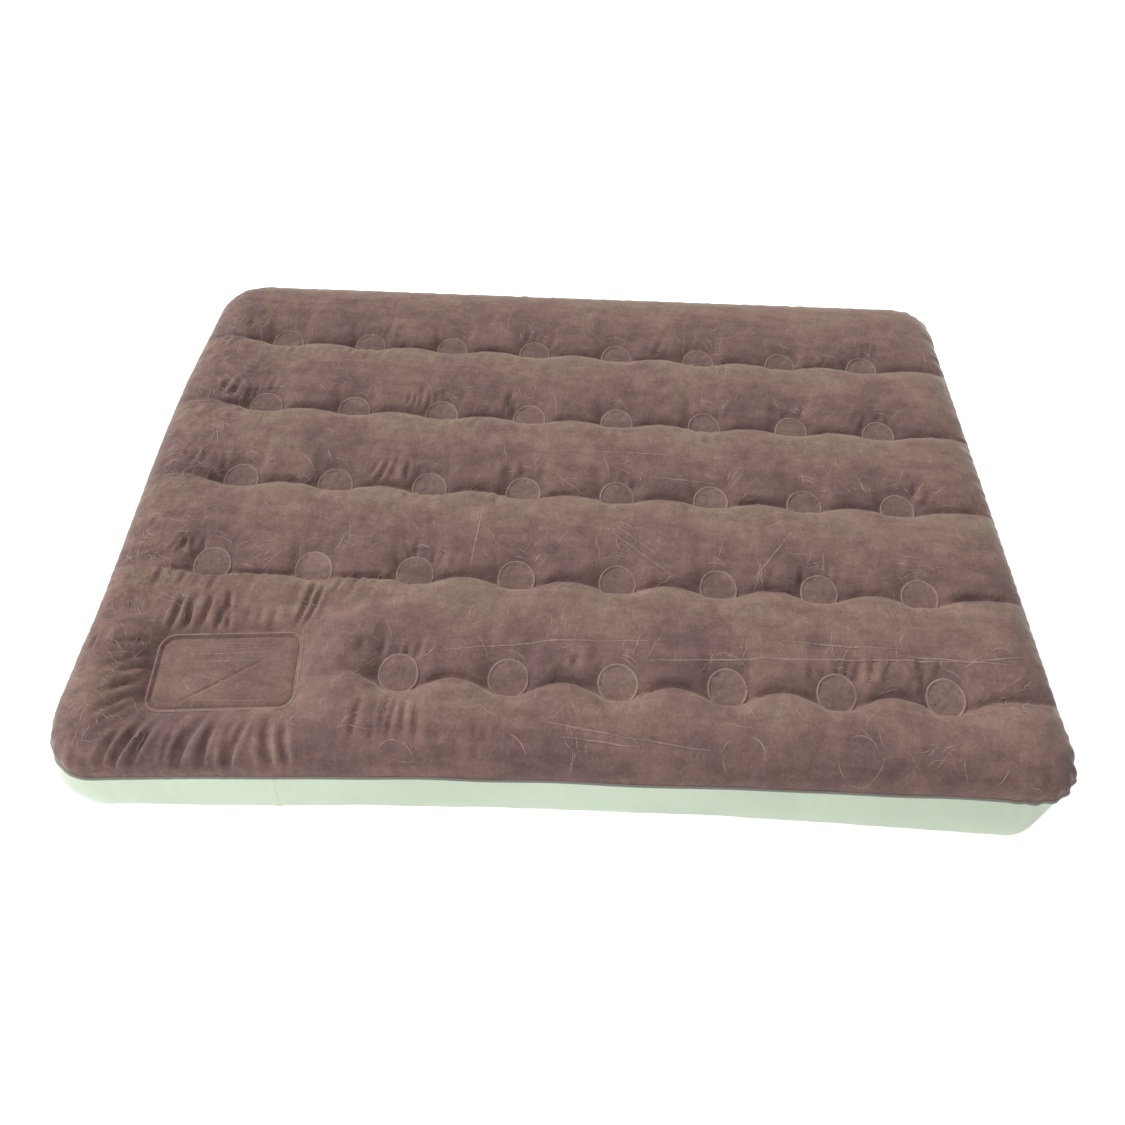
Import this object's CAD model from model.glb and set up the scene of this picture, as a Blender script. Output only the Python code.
"""Looks of a double air bed: flocked tufted top, weld seams, pale side wall, foot pump and valves."""

import math

import bpy
import numpy as np
from mathutils import Matrix, Vector
from mathutils.bvhtree import BVHTree
from mathutils.kdtree import KDTree


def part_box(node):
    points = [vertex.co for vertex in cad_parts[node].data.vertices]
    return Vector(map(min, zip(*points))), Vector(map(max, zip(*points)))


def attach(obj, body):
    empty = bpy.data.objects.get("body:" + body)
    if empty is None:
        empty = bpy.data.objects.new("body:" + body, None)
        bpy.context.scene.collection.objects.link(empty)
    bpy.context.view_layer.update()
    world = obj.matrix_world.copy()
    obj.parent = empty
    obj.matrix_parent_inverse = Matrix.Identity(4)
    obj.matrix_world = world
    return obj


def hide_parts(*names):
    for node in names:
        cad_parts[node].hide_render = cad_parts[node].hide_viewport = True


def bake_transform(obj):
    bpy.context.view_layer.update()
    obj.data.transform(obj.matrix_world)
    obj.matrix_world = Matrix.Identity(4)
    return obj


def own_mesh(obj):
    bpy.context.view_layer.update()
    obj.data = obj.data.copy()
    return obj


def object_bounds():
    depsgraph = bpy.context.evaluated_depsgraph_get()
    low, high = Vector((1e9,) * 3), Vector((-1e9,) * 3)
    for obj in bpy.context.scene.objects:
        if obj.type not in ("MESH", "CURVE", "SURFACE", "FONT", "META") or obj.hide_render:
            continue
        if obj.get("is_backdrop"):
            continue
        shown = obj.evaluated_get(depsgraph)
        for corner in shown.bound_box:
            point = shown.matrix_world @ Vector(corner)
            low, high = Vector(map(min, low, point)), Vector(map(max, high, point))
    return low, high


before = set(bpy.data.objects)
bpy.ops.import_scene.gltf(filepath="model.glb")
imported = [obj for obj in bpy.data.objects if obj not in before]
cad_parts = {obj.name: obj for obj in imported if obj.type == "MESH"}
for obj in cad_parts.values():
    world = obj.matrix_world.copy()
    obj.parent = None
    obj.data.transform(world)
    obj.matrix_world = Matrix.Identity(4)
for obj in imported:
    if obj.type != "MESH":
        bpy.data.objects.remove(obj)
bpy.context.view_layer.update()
scene = bpy.context.scene

# Sizes of the part, in metres
HALF_X = 0.948
HALF_Y = 0.678
SEAM_R = 0.123
SEAM_Z = 0.150
CREST_Z = 0.219
SPOT_Z = 0.194
TILT = 0.27
EDGE_ROLL = 0.105
PITCH_X = 0.207
PITCH_Y = 0.230
COLS = 8
ROWS = 5
SPOTS_DY = -0.040
SPOT_R = 0.038
PUMP_X = -0.638
PUMP_Y = -0.502
PUMP_L = 0.264
PUMP_W = 0.156
PUMP_R = 0.026
PUMP_Z = 0.1795
PUMP_TURN = math.radians(4.5)
PUMP_LIP = 0.006
PUMP_HOLD = 0.005
PORT_Y = -0.500
PORT_Z = 0.095
WALL_X = -0.950
VALVES = ((-0.230, PORT_Z, 0.0170), (PORT_Y, PORT_Z, 0.0125))
BOTTOM_SEAM_Z = 0.021
BOTTOM_IN = 0.026
BOTTOM_SPOT_Z = 0.031

# Form of the tubes: the steep back of each, its foot at the spots of a row, and the slope behind it
BACK = 0.066
BACK_ROUND = 2.3
FOOT_MID = 0.004
FOOT_SPOT = (0.029, 0.020, 0.013, 0.011, 0.010)
FOOT_WIDE = 0.060
FOOT_SHARP = 2.6
FOOT_BY_PUMP = 0.017
CREST_EASE = 0.004
CREASE_DEEP = 0.0045
CREASE_WIDE = 0.005
SWELL_REACH = 0.13
SWELL_SHARE = 0.55

SPOT_X = [(c - (COLS - 1) / 2) * PITCH_X for c in range(COLS)]
SPOT_Y = [(r - (ROWS - 1) / 2) * PITCH_Y + SPOTS_DY for r in range(ROWS)]
SPOTS = [(x, y) for r, y in enumerate(SPOT_Y) for c, x in enumerate(SPOT_X) if r > 0 or c > 1]
TAU = 2 * math.pi
seeded = np.random.default_rng


# Small helpers
def smooth(low, high, x):
    t = np.clip((x - low) / (high - low), 0, 1)
    return t * t * (3 - 2 * t)


def bell(t):
    return np.exp(-(t * t))


def quarter(t):
    """A quarter circle: steep at 0, level from 1 on."""
    return np.sqrt(np.clip(1 - (1 - np.clip(t, 0, 1)) ** 2, 0, 1))


def spot_distance(x, y):
    return np.min([np.hypot(x - sx, y - sy) for sx, sy in SPOTS], 0)


def waves(x, y, length, seed, count=20):
    """Smooth seeded noise of about that wavelength, from -1 to 1 or so."""
    gen = seeded(seed)
    total = 0
    for _ in range(count):
        turn, phase, size = gen.uniform(0, TAU), gen.uniform(0, TAU), gen.uniform(0.75, 1.4)
        k = TAU / (length * size)
        total = total + np.sin(k * (x * math.cos(turn) + y * math.sin(turn)) + phase)
    return total / math.sqrt(count / 2) / 1.6


def ripple(s, around, lengths, seed):
    """Smooth seeded noise along a closed line of length around."""
    gen = seeded(seed)
    total = 0
    for length in lengths:
        turns = max(1, round(around / length))
        total = total + gen.uniform(0.6, 1) * np.sin(TAU * turns * s / around + gen.uniform(0, TAU))
    return total / len(lengths)


def mesh_object(name, points, faces, material, smooth_shade=True):
    mesh = bpy.data.meshes.new(name)
    mesh.from_pydata(np.asarray(points).reshape(-1, 3).tolist(), [], faces)
    mesh.update()
    mesh.materials.append(material)
    if smooth_shade:
        mesh.shade_smooth()
    obj = bpy.data.objects.new(name, mesh)
    scene.collection.objects.link(obj)
    return obj


def second_material(obj, material, where):
    """Another material for the faces where that holds."""
    obj.data.materials.append(material)
    obj.data.polygons.foreach_set("material_index", where.astype(np.int32))


def grid_faces(rows, cols, close_rows=False, close_cols=False):
    """Quads of a grid of rows by cols points, stored row by row."""
    i = np.arange(rows if close_rows else rows - 1)
    j = np.arange(cols if close_cols else cols - 1)
    a, b = np.meshgrid(i, j, indexing="ij")
    a2, b2 = (a + 1) % rows, (b + 1) % cols
    quads = np.stack([a * cols + b, a2 * cols + b, a2 * cols + b2, a * cols + b2], -1)
    return quads.reshape(-1, 4)


def grid_uv(rows, cols):
    return np.stack(np.meshgrid(np.linspace(0, 1, rows), np.linspace(0, 1, cols), indexing="ij"), -1)


def round_line(hx, hy, r, per_corner, count):
    """Even points along a rectangle with round corners: x, y, distance along and the whole length."""
    turn = math.pi / 2
    arc = np.linspace(0, turn, per_corner)
    corners = [(hx - r, hy - r), (-hx + r, hy - r), (-hx + r, -hy + r), (hx - r, -hy + r)]
    raw = np.concatenate([
        np.stack([cx + r * np.cos(arc + k * turn), cy + r * np.sin(arc + k * turn)], -1)
        for k, (cx, cy) in enumerate(corners)
    ])
    raw = np.concatenate([raw, raw[:1]])
    step = np.r_[0, np.cumsum(np.hypot(*np.diff(raw, axis=0).T))]
    s = np.linspace(0, step[-1], count, endpoint=False)
    return np.interp(s, step, raw[:, 0]), np.interp(s, step, raw[:, 1]), s, step[-1]


def onto_circle(gap, r, reach, where):
    """Factors that draw the points within reach of a circle of radius r onto it."""
    return np.where(where & (np.abs(gap - r) < reach), r / np.maximum(gap, 1e-6), 1)


def bake_map(obj, uv):
    """UV map for the points of obj, under the name that the export looks for."""
    layer = obj.data.uv_layers.new(name="OFBake")
    index = np.empty(len(obj.data.loops), np.int32)
    obj.data.loops.foreach_get("vertex_index", index)
    layer.data.foreach_set("uv", np.asarray(uv, np.float32).reshape(-1, 2)[index].ravel())


# Shader helpers
class Shader:
    def __init__(self, name):
        self.material = bpy.data.materials.new(name)
        self.material.use_nodes = True
        self.tree = self.material.node_tree
        self.tree.nodes.clear()
        self.place = self.node("ShaderNodeTexCoord").outputs["Object"]

    def node(self, kind, inputs=None, **props):
        made = self.tree.nodes.new(kind)
        for key, value in props.items():
            setattr(made, key, value)
        for key, value in (inputs or {}).items():
            self.put(made.inputs[key], value)
        return made

    def put(self, socket, value):
        if isinstance(value, bpy.types.NodeSocket):
            self.tree.links.new(value, socket)
        else:
            socket.default_value = value

    def math(self, operation, a, b=0.0, c=0.0):
        return self.node("ShaderNodeMath", {0: a, 1: b, 2: c}, operation=operation).outputs[0]

    def scaled(self, factors):
        inputs = {0: self.place, 1: factors}
        return self.node("ShaderNodeVectorMath", inputs, operation="MULTIPLY").outputs["Vector"]

    def noise(self, scale, detail=2.0, rough=0.5, place=None):
        inputs = {"Vector": place or self.place, "Scale": scale, "Detail": detail, "Roughness": rough}
        return self.node("ShaderNodeTexNoise", inputs).outputs["Fac"]

    def span(self, value, low, high, to_low=0.0, to_high=1.0):
        inputs = {"Value": value, "From Min": low, "From Max": high, "To Min": to_low, "To Max": to_high}
        return self.node("ShaderNodeMapRange", inputs, interpolation_type="SMOOTHSTEP").outputs[0]

    def mix(self, share, a, b):
        return self.node("ShaderNodeMix", {"Factor": share, 6: a, 7: b}, data_type="RGBA").outputs[2]

    def bump(self, height, distance, strength=1.0, normal=None):
        inputs = {"Height": height, "Distance": distance, "Strength": strength}
        if normal is not None:
            inputs["Normal"] = normal
        return self.node("ShaderNodeBump", inputs).outputs[0]

    def finish(self, **inputs):
        principled = self.node("ShaderNodeBsdfPrincipled")
        for key, value in inputs.items():
            self.put(principled.inputs[key.replace("_", " ")], value)
        self.node("ShaderNodeOutputMaterial", {0: principled.outputs[0]})
        return self.material


def rgb(r, g, b):
    return (r, g, b, 1.0)


def tinted(base, factors):
    return rgb(*[min(1.0, c * f) for c, f in zip(base, factors)])


def toned(base, factor):
    return tinted(base, (factor, factor, factor))


# Materials: the flock is dark where it is brushed away from the light, pale where it is brushed towards it
NAP_DARK = (0.80, 0.76, 0.82)
NAP_LEVEL = (1.03, 0.97, 0.97)
NAP_PALE = (1.16, 1.22, 1.10)


def flock(name, base, brushed_tubes=False):
    s = Shader(name)
    mottle = s.noise(150.0, 4.0, 0.65)
    brushed = s.noise(38.0, 4.0, 0.6, s.scaled((0.4, 1.0, 1.0)))
    if brushed_tubes:
        nap = s.node("ShaderNodeAttribute", attribute_name="nap").outputs["Fac"]
    else:
        nap = s.span(s.noise(9.0, 4.0, 0.6, s.scaled((1.0, 0.5, 1.0))), 0.40, 0.60, 0.3, 0.7)
    ramp = s.node("ShaderNodeValToRGB", {0: nap})
    stops = ramp.color_ramp.elements
    stops[0].color = tinted(base, NAP_DARK)
    stops[1].color = tinted(base, NAP_PALE)
    stops.new(0.5).color = tinted(base, NAP_LEVEL)
    streak = s.span(s.noise(1.0, 3.0, 0.6, s.scaled((150.0, 42.0, 60.0))), 0.54, 0.76)
    shade = s.math("ADD", s.span(brushed, 0.3, 0.7, 0.85, 1.11), s.span(mottle, 0.3, 0.7, -0.11, 0.11))
    shade = s.math("MULTIPLY_ADD", streak, 0.22, shade)
    coloured = s.node("ShaderNodeVectorMath", {0: ramp.outputs[0], "Scale": shade}, operation="SCALE")
    crumple = s.bump(s.noise(60.0, 3.0, 0.55, s.scaled((1.0, 0.6, 1.0))), 0.0024, 0.5)
    pile = s.bump(mottle, 0.0008, 0.5, crumple)
    return s.finish(
        Base_Color=coloured.outputs["Vector"],
        Roughness=0.95,
        Normal=pile,
        Sheen_Weight=0.7,
        Sheen_Roughness=0.35,
        Sheen_Tint=rgb(0.85, 0.80, 0.70),
        Specular_IOR_Level=0.15,
    )


def vinyl(name, base, roughness=0.42, pucker=0.0012):
    s = Shader(name)
    cloud = s.noise(5.0, 3.0)
    fine = s.noise(260.0, 2.0)
    streak = s.noise(40.0, 3.0, 0.6, s.scaled((0.3, 0.3, 1.4)))
    colour = s.mix(s.span(cloud, 0.35, 0.65), toned(base, 0.96), toned(base, 1.03))
    lumps = s.bump(s.noise(28.0, 3.0), pucker, 0.6)
    grain = s.bump(fine, 0.0002, 0.3, s.bump(streak, 0.0006, 0.4, lumps))
    rough = s.span(s.noise(18.0, 2.0), 0.3, 0.7, roughness - 0.06, roughness + 0.08)
    return s.finish(Base_Color=colour, Roughness=rough, Normal=grain, Specular_IOR_Level=0.4)


def moulded(name, base, roughness=0.45):
    s = Shader(name)
    fine = s.noise(900.0, 2.0)
    colour = s.mix(s.span(s.noise(60.0, 3.0), 0.35, 0.65), toned(base, 0.85), rgb(*base))
    rough = s.span(s.noise(140.0, 2.0), 0.3, 0.7, roughness - 0.08, roughness + 0.10)
    return s.finish(Base_Color=colour, Roughness=rough, Normal=s.bump(fine, 0.0001, 0.4))


def open_foam(name, base):
    s = Shader(name)
    cells = s.node("ShaderNodeTexVoronoi", {"Vector": s.place, "Scale": 420.0}).outputs["Distance"]
    colour = s.mix(s.span(cells, 0.1, 0.6), rgb(*base), toned(base, 0.55))
    return s.finish(Base_Color=colour, Roughness=0.95, Normal=s.bump(cells, 0.0008, 0.8))


FLOCK_BASE = (0.222, 0.144, 0.126)
flock_top = flock("flocked_top", FLOCK_BASE, True)
flock_panel = flock("flocked_panel", FLOCK_BASE)
flock_pressed = flock("flocked_spots", (0.242, 0.163, 0.146))
flock_ring = flock("flocked_rings", (0.300, 0.222, 0.197))
flock_mark = flock("flocked_marks", (0.308, 0.224, 0.200))
flock_dark = flock("flocked_grooves", (0.155, 0.098, 0.088))
side_film = vinyl("side_film", (0.650, 0.755, 0.597))
bottom_film = vinyl("bottom_film", (0.60, 0.69, 0.56), 0.5)
coil_film = vinyl("coil_film", (0.74, 0.75, 0.73), 0.4)
seam_film = vinyl("weld_seam", (0.30, 0.30, 0.265), 0.6, 0.0006)
valve_plastic = moulded("valve_plastic", (0.16, 0.17, 0.18))
flap_rubber = moulded("flap_rubber", (0.04, 0.04, 0.042), 0.6)
foam_cells = open_foam("foam", (0.70, 0.62, 0.38))


# Outline: where its sides, ends and corners begin and end, and how far each corner stands out in the photo
SIDE = (0.50, 0.685)
END = (0.78, 0.95)
CORNER_X = (0.80, 0.95)
CORNER_Y = (0.53, 0.68)
NEAR_RIGHT, NEAR_LEFT, FAR_RIGHT, FAR_LEFT = 0.018, 0.006, 0.014, -0.002


def outline_shift(x, y):
    """How far the photographed seam lies off the even outline of the part."""
    near, far = smooth(*SIDE, -y), smooth(*SIDE, y)
    left, right = smooth(*END, -x), smooth(*END, x)
    flare = np.clip((-0.1 - x) / 0.75, 0, 1.15) ** 1.3
    dy = near * (-0.032 * flare + 0.005 * smooth(-0.1, 0.5, x)) + far * (0.004 + 0.022 * x)
    dx = left * (0.017 - 0.020 * smooth(-0.45, 0.2, y) + 0.013 * smooth(0.25, 0.60, y)) + right * 0.005
    corner = smooth(*CORNER_X, np.abs(x)) * smooth(*CORNER_Y, np.abs(y))
    push = np.where(y < 0, np.where(x > 0, NEAR_RIGHT, NEAR_LEFT), np.where(x > 0, FAR_RIGHT, FAR_LEFT))
    return dx + np.sign(x) * corner * push, dy + np.sign(y) * corner * push


def rounded(x, y, hx, hy, r):
    """A square grid with its corners drawn in to quarter discs."""
    p = np.maximum((np.abs(x) - (hx - r)) / r, 0)
    q = np.maximum((np.abs(y) - (hy - r)) / r, 0)
    k = np.maximum(p, q) / np.maximum(np.hypot(p, q), 1e-9)
    corner = (p > 0) & (q > 0)
    rx = np.where(corner, np.sign(x) * (hx - r + r * p * k), x)
    ry = np.where(corner, np.sign(y) * (hy - r + r * q * k), y)
    return rx, ry


def seam_line(count, inset=0.0):
    """Points, outward directions and distances along the seam, counter-clockwise."""
    x, y, s, around = round_line(HALF_X - inset, HALF_Y - inset, SEAM_R - inset, 60, count)
    dx, dy = outline_shift(x, y)
    points = np.stack([x + dx, y + dy], -1)
    along = np.roll(points, -1, 0) - np.roll(points, 1, 0)
    along /= np.linalg.norm(along, axis=1)[:, None]
    outward = np.stack([along[:, 1], -along[:, 0]], -1)
    return points, outward, s, around


def ridge(t):
    """A fold across: a crest with a shallow valley on either side."""
    return bell(t) - 0.5 * bell((np.abs(t) - 1.7) / 0.8)


FINE = 4200
fine_points, fine_out, fine_s, AROUND = seam_line(FINE)


def seam_pleats():
    """Uneven pleats round the seam: place, half width, height, reach into the sheet."""
    gen = seeded(7)
    at, made = 0.0, []
    while at < AROUND - 0.02:
        x, y = fine_points[int(at / AROUND * FINE)]
        end = float(smooth(0.88, 0.94, abs(x)))
        corner = float(smooth(0.80, 0.90, abs(x)) * smooth(0.54, 0.62, abs(y)))
        near_pump = float(smooth(-0.5, -0.6, y) * smooth(-0.42, -0.52, x))
        side = 1.0 if x > 0 else 0.4
        high = 0.0005 + (0.0003 * end + 0.0020 * corner) * side + 0.0008 * near_pump
        high *= gen.uniform(0.35, 1.2)
        spacing = 0.024 + 0.010 * corner
        made.append((at, spacing * gen.uniform(0.28, 0.36), high, 0.030 + 0.030 * gen.uniform(0, 1)))
        at += spacing * gen.uniform(0.75, 1.3)
    return made


def along_gap(s, place):
    """Distance along the seam from a place, either way round."""
    return np.abs((s - place + AROUND / 2) % AROUND - AROUND / 2)


PLEATS = seam_pleats()
SCALLOP = 0.0012 * ripple(fine_s, AROUND, (0.24, 0.33), 4)
LIFT = 0.0020 * ripple(fine_s, AROUND, (0.30, 0.42, 0.19), 6)
for place, wide, high, _ in PLEATS:
    gap = along_gap(fine_s, place)
    x, y = fine_points[int(place / AROUND * FINE)]
    share = 1.3 if x > 0.8 and y < -0.5 else 0.5
    SCALLOP = SCALLOP + share * high * ridge(gap / wide)
    LIFT = LIFT + 0.7 * high * ridge(gap / wide)
for row_y in SPOT_Y:
    notch = bell((fine_points[:, 1] - row_y) / 0.014) * (np.abs(fine_points[:, 0]) > 0.9)
    SCALLOP = SCALLOP - 0.0030 * notch
fine_tree = KDTree(FINE)
for number, (px, py) in enumerate(fine_points):
    fine_tree.insert((px, py, 0), number)
fine_tree.balance()


def fine_index(s, around):
    return np.round(s / around * FINE).astype(int) % FINE


# Pump outline, which lies a little turned
def pump_local(x, y):
    c, s = math.cos(PUMP_TURN), math.sin(PUMP_TURN)
    dx, dy = x - PUMP_X, y - PUMP_Y
    return c * dx + s * dy, -s * dx + c * dy


def pump_world(u, v):
    c, s = math.cos(PUMP_TURN), math.sin(PUMP_TURN)
    return PUMP_X + c * u - s * v, PUMP_Y + s * u + c * v


def pump_distance(x, y):
    """Distance outside the pump's opening, below 0 inside."""
    u, v = pump_local(x, y)
    qx, qy = np.abs(u) - (PUMP_L / 2 - PUMP_R), np.abs(v) - (PUMP_W / 2 - PUMP_R)
    outside = np.hypot(np.maximum(qx, 0), np.maximum(qy, 0))
    return outside + np.minimum(np.maximum(qx, qy), 0) - PUMP_R


def pump_outline(count, out=0.0):
    """Points round the pump's opening, moved out by that much."""
    u, v = round_line(PUMP_L / 2 + out, PUMP_W / 2 + out, max(PUMP_R + out, 0.002), 24, count)[:2]
    return np.stack(pump_world(u, v), -1)


# Height of the tufted sheet
def from_column(x, row):
    """Distance along the row to its nearest spot: the near row has none left of its third column."""
    col = np.clip(np.round(x / PITCH_X + (COLS - 1) / 2), 0, COLS - 1)
    adx = np.abs(x - (col - (COLS - 1) / 2) * PITCH_X)
    return np.where(x < SPOT_X[2], SPOT_X[2] - x, adx) if row == 0 else adx


def foot_half(x, row):
    """How far before the middle of its row the steep back of the nearer tube stands."""
    half = FOOT_MID + FOOT_SPOT[row] * np.exp(-(from_column(x, row) / FOOT_WIDE) ** FOOT_SHARP)
    return np.maximum(half, FOOT_BY_PUMP * smooth(-0.20, -0.34, x)) if row == 1 else half


def slope_drop(t):
    """Depth below the crests on the slope behind a row, eased into the crest."""
    lean = CREST_Z - SPOT_Z - TILT * t
    return (lean + np.sqrt(lean * lean + 4 * CREST_EASE ** 2)) / 2


def end_fade(x):
    """Less of the tubes towards both ends, where the sheet lies loose."""
    return (1 - 0.80 * smooth(0.755, 0.86, -x)) * (1 - 0.40 * smooth(0.80, 0.95, x))


def pump_fade(x, row):
    """The near row stops at its third column, before the pump."""
    return 1 - smooth(-0.02, 0.10, SPOT_X[2] - SPOT_R - x) if row == 0 else 1.0


def tube_drop(x, y):
    """Depth below the crests: each tube leans on the one before it and falls steeply at its back."""
    total = np.zeros_like(x)
    for row, row_y in enumerate(SPOT_Y):
        half = foot_half(x, row)
        t = y - row_y
        q = 1 - np.clip((-half - t) / BACK, 0, 1)
        back = slope_drop(-half) * (1 - (1 - q ** BACK_ROUND) ** (1 / BACK_ROUND))
        between = smooth(SPOT_R, 1.6 * SPOT_R, from_column(x, row))
        crease = CREASE_DEEP * between * bell((t + half) / CREASE_WIDE)
        swell = slope_drop(-half) * (1 - quarter((t + half) / SWELL_REACH))
        slope = slope_drop(t) + SWELL_SHARE * between * (swell - slope_drop(t))
        drop = np.where(t >= -half, slope, back) + crease
        total = np.maximum(total, drop * pump_fade(x, row))
    return total * end_fade(x)


def from_edge(x, y):
    return np.minimum(HALF_X - np.abs(x), HALF_Y - np.abs(y))


def top_height(x, y):
    """Height of the sheet, where it is a flat spot, and the distance to the pump's opening."""
    d = from_edge(x, y)
    roll = quarter(d / EDGE_ROLL)
    near_edge = smooth(0.0, 0.075, d)
    pump_gap = pump_distance(x, y)
    above = smooth(PUMP_W / 2, PUMP_W / 2 + 0.06, pump_local(x, y)[1])
    pump = (1 - np.clip((pump_gap - PUMP_LIP) / (0.100 + 0.19 * above), 0, 1)) ** (1.7 - 0.4 * above)
    crest = SEAM_Z + (CREST_Z - SEAM_Z) * roll
    drop = np.maximum(tube_drop(x, y) * near_edge, (CREST_Z - PUMP_Z) * pump * smooth(0.0, 0.09, d))
    z = crest - drop
    flat = np.zeros_like(z, bool)
    for sx, sy in SPOTS:
        row = SPOT_Y.index(sy)
        disc = (np.hypot(x - sx, y - sy) <= SPOT_R + 0.0004) & (y - sy >= 0.0005 - foot_half(x, row))
        flat |= disc
        z = np.where(disc, SPOT_Z + TILT * (y - sy), z)
    return np.where(pump_gap <= PUMP_LIP, PUMP_Z, z), flat, pump_gap


# Grid of the top
def even_lines(half, count, axis):
    """Lines evenly spaced along the sheet, and closer by the pump."""
    dense = np.linspace(-half, half, 6001)
    still = np.zeros_like(dense)
    if axis == "x":
        z = top_height(dense, still + SPOT_Y[2] + PITCH_Y / 2)[0]
    else:
        z = top_height(still, dense)[0]
    middle = (dense[1:] + dense[:-1]) / 2
    finer = 1 + 0.7 * smooth(-0.24, -0.30, middle) if axis == "x" else 1
    step = np.r_[0, np.cumsum(finer * np.hypot(np.diff(dense), np.diff(z)))]
    return np.interp(np.linspace(0, step[-1], count), step, dense)


NX, NY = 351, 269


def top_start():
    """The sheet before it is relaxed, with the places that its points come from and what holds them."""
    xs, ys = even_lines(HALF_X, NX, "x"), even_lines(HALF_Y, NY, "y")
    x, lines = np.meshgrid(xs, ys, indexing="ij")
    y = lines.copy()
    for row, row_y in enumerate(SPOT_Y):
        y -= foot_half(x, row) * bell((lines - row_y) / 0.05)
    for sx, sy in SPOTS:
        r = np.hypot(x - sx, y - sy)
        seen = y - sy > 0.004 - FOOT_MID - FOOT_SPOT[SPOT_Y.index(sy)]
        k = onto_circle(r, SPOT_R, 0.0029, seen)
        x, y = sx + (x - sx) * k, sy + (y - sy) * k
    z, flat, gap = top_height(x, y)
    rim = np.zeros_like(flat)
    rim[[0, -1], :] = True
    rim[:, [0, -1]] = True
    px, py = rounded(x, y, HALF_X, HALF_Y, SEAM_R)
    dx, dy = outline_shift(px, py)
    free_of_pump = smooth(0.0, 0.06, gap)
    px, py = px + dx * free_of_pump, py + dy * free_of_pump
    for i, j in zip(*np.nonzero(rim)):
        number = fine_tree.find((px[i, j], py[i, j], 0))[1]
        px[i, j], py[i, j] = fine_points[number] + fine_out[number] * SCALLOP[number]
        z[i, j] = SEAM_Z + LIFT[number]
    pinned = flat | rim | (gap <= PUMP_HOLD)
    return np.stack([px, py, z], -1), x, y, lines, pinned, gap


# Folds of the sheet
def fold(u, v, a, b, wide):
    """Ridge along the line from a to b, fading at its ends."""
    a, b = np.array(a), np.array(b)
    along = b - a
    t = ((u - a[0]) * along[0] + (v - a[1]) * along[1]) / (along @ along)
    near = np.clip(t, 0, 1)
    gap = np.hypot(u - a[0] - near * along[0], v - a[1] - near * along[1])
    return bell(gap / wide) * np.sin(math.pi * np.clip(near, 0.02, 0.98)) ** 0.5


def groove(t):
    """A sharp crease between two rounded shoulders."""
    return 0.45 * bell(np.abs(t) - 1.9) - np.exp(-np.abs(t) ** 1.25)


def pleats(q, depth, first, last, spacing, height, reach, seed):
    """A row of uneven folds side by side along q, each running from depth 0 to about reach."""
    gen = seeded(seed)
    total = np.zeros_like(q)
    at = first
    while at < last:
        high, wide = height * gen.uniform(0.5, 1.2), spacing * gen.uniform(0.20, 0.32)
        bend = gen.uniform(-0.20, 0.20)
        start, stop = reach * gen.uniform(0.0, 0.12), reach * gen.uniform(0.75, 1.1)
        shown = smooth(start, start + 0.3 * reach, depth) * (1 - smooth(stop - 0.3 * reach, stop, depth))
        total = total + high * groove((q - at - bend * depth) / wide) * shown
        at += spacing * gen.uniform(0.6, 1.35)
    return total * (depth > 0)


def creases(x, y, length, seed, wide=0.16):
    """Thin winding ridges, as crumpled film keeps them, about that far apart."""
    return bell(waves(x, y, length, seed, 9) / wide) - 0.35


def sheet_folds(x, y, gap):
    """Gathers round the pump and the rows, crumples of the loose end, and a fold beside the pump."""
    u, v = pump_local(x, y)
    below, above, beside = -v - PUMP_W / 2, v - PUMP_W / 2, -u - PUMP_L / 2
    fan = (u + 0.36 * below) / (1 + 2.8 * np.clip(below, -0.05, None))
    under = SPOT_Y[0] - SPOT_R - 0.006 - y
    # Place along, depth, first, last, spacing, height, reach and seed of each row of gathers
    rows = (
        (fan, below, -0.135, 0.150, 0.0235, 0.0075, 0.155, 61),
        (u - 0.08 * above, above, -0.125, 0.000, 0.0195, 0.0048, 0.100, 62),
        (u - 0.10 * above, above, 0.024, 0.090, 0.0300, 0.0028, 0.070, 63),
        (u - 0.45 * above, above, 0.118, 0.150, 0.0220, 0.0042, 0.118, 64),
        (v + 0.5 * beside, beside, -0.080, 0.080, 0.0260, 0.0030, 0.110, 65),
        (x - SPOT_X[2], under, -0.050, 0.045, 0.0200, 0.0032, 0.105, 66),
        (x + 0.140, -0.575 - y, -0.012, 0.020, 0.0240, 0.0040, 0.110, 67),
    )
    total = sum(pleats(*row) for row in rows)
    for number, row in enumerate(SPOT_Y):
        over, front = y - row, row - y
        here = smooth(0.05, 0.55, waves(x, y, 0.22, 70 + number)) * (over < 0.1)
        total += here * pleats(x - 0.25 * over, over, -0.90, 0.92, 0.0190, 0.0028, 0.075, 80 + number)
        here = smooth(0.25, 0.75, waves(x, y, 0.20, 90 + number)) * (front < 0.1)
        total += here * pleats(x + 0.20 * front, front, -0.90, 0.92, 0.0210, 0.0020, 0.070, 100 + number)
    rim = from_edge(x, y)
    slack = smooth(0.72, 0.86, -x) * smooth(-0.62, -0.5, y) * smooth(0.012, 0.06, rim)
    total += slack * (0.0014 * creases(x, y, 0.085, 68, 0.20) + 0.0019 * creases(x, y, 0.060, 58, 0.20))
    total += 0.0012 * creases(x, y, 0.110, 59) * smooth(-0.2, 0.9, waves(x, y, 0.3, 57))
    total += 0.0005 * waves(x, y, 0.045, 69)
    total -= 0.0022 * fold(x, y, (-0.480, -0.585), (-0.335, -0.405), 0.014)
    total += 0.0020 * fold(x, y, (-0.497, -0.572), (-0.352, -0.392), 0.011)
    return total * smooth(0.004, 0.02, gap) * smooth(0.003, 0.014, rim)


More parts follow.
